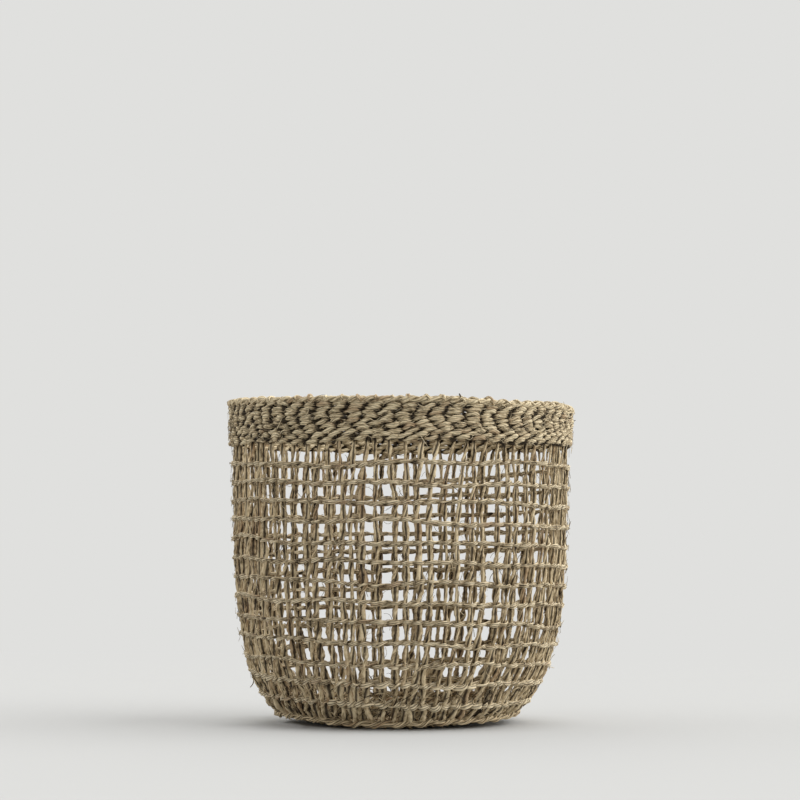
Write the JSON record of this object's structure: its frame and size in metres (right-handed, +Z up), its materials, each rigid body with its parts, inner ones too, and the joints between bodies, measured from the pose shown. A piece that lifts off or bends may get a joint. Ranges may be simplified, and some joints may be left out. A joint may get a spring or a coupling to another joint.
{
  "type": "woven basket",
  "caption": "Round open-weave storage basket of twisted seagrass cord, with a wall that swells from a flat woven base to a close-twined band and bound rim.",
  "frame": {"origin": "centre of the underside, on the surface that the basket stands on", "axes": "+Z up, the axis of the round basket; +X to the right and -Y towards the viewer in the picture's view"},
  "size_m": [0.25, 0.25, 0.235],
  "materials": {
    "stake_cord": "matte twisted two-ply seagrass cord, olive straw with brown gaps between the fibres",
    "weft_cord": "matte twisted seagrass strand, pale straw with darker creases",
    "band_cord": "matte thicker seagrass strand, straw with deep brown gaps",
    "base_cord": "matte seagrass strand, darker olive brown, slightly rougher"
  },
  "bodies": {
    "root": {"stake_fan_01": "stake_cord", "stake_fan_02": "stake_cord", "stake_fan_03": "stake_cord", "stake_fan_04": "stake_cord", "stake_fan_05": "stake_cord", "stake_fan_06": "stake_cord", "stake_fan_07": "stake_cord", "stake_fan_08": "stake_cord", "stake_fan_09": "stake_cord", "stake_fan_10": "stake_cord", "course_01_outer_strand": "weft_cord", "course_01_inner_strand": "weft_cord", "course_02_outer_strand": "weft_cord", "course_02_inner_strand": "weft_cord", "course_03_outer_strand": "weft_cord", "course_03_inner_strand": "weft_cord", "course_04_outer_strand": "weft_cord", "course_04_inner_strand": "weft_cord", "course_05_outer_strand": "weft_cord", "course_05_inner_strand": "weft_cord", "course_06_outer_strand": "weft_cord", "course_06_inner_strand": "weft_cord", "course_07_outer_strand": "weft_cord", "course_07_inner_strand": "weft_cord", "course_08_outer_strand": "weft_cord", "course_08_inner_strand": "weft_cord", "course_09_outer_strand": "weft_cord", "course_09_inner_strand": "weft_cord", "course_10_outer_strand": "weft_cord", "course_10_inner_strand": "weft_cord", "course_11_outer_strand": "weft_cord", "course_11_inner_strand": "weft_cord", "course_12_outer_strand": "weft_cord", "course_12_inner_strand": "weft_cord", "course_13_outer_strand": "weft_cord", "course_13_inner_strand": "weft_cord", "band_row_1_outer_strand": "band_cord", "band_row_1_inner_strand": "band_cord", "band_row_2_outer_strand": "band_cord", "band_row_2_inner_strand": "band_cord", "band_row_3_outer_strand": "band_cord", "band_row_3_inner_strand": "band_cord", "band_row_4_outer_strand": "band_cord", "band_row_4_inner_strand": "band_cord", "band_row_5_outer_strand": "band_cord", "band_row_5_inner_strand": "band_cord", "band_row_6_outer_strand": "band_cord", "band_row_6_inner_strand": "band_cord", "band_row_7_outer_strand": "band_cord", "band_row_7_inner_strand": "band_cord", "rim_border": "band_cord", "foot_course": "base_cord", "base_twining_under": "base_cord", "base_twining_upper": "base_cord", "centre_knot": "base_cord"}
  },
  "joints": []
}
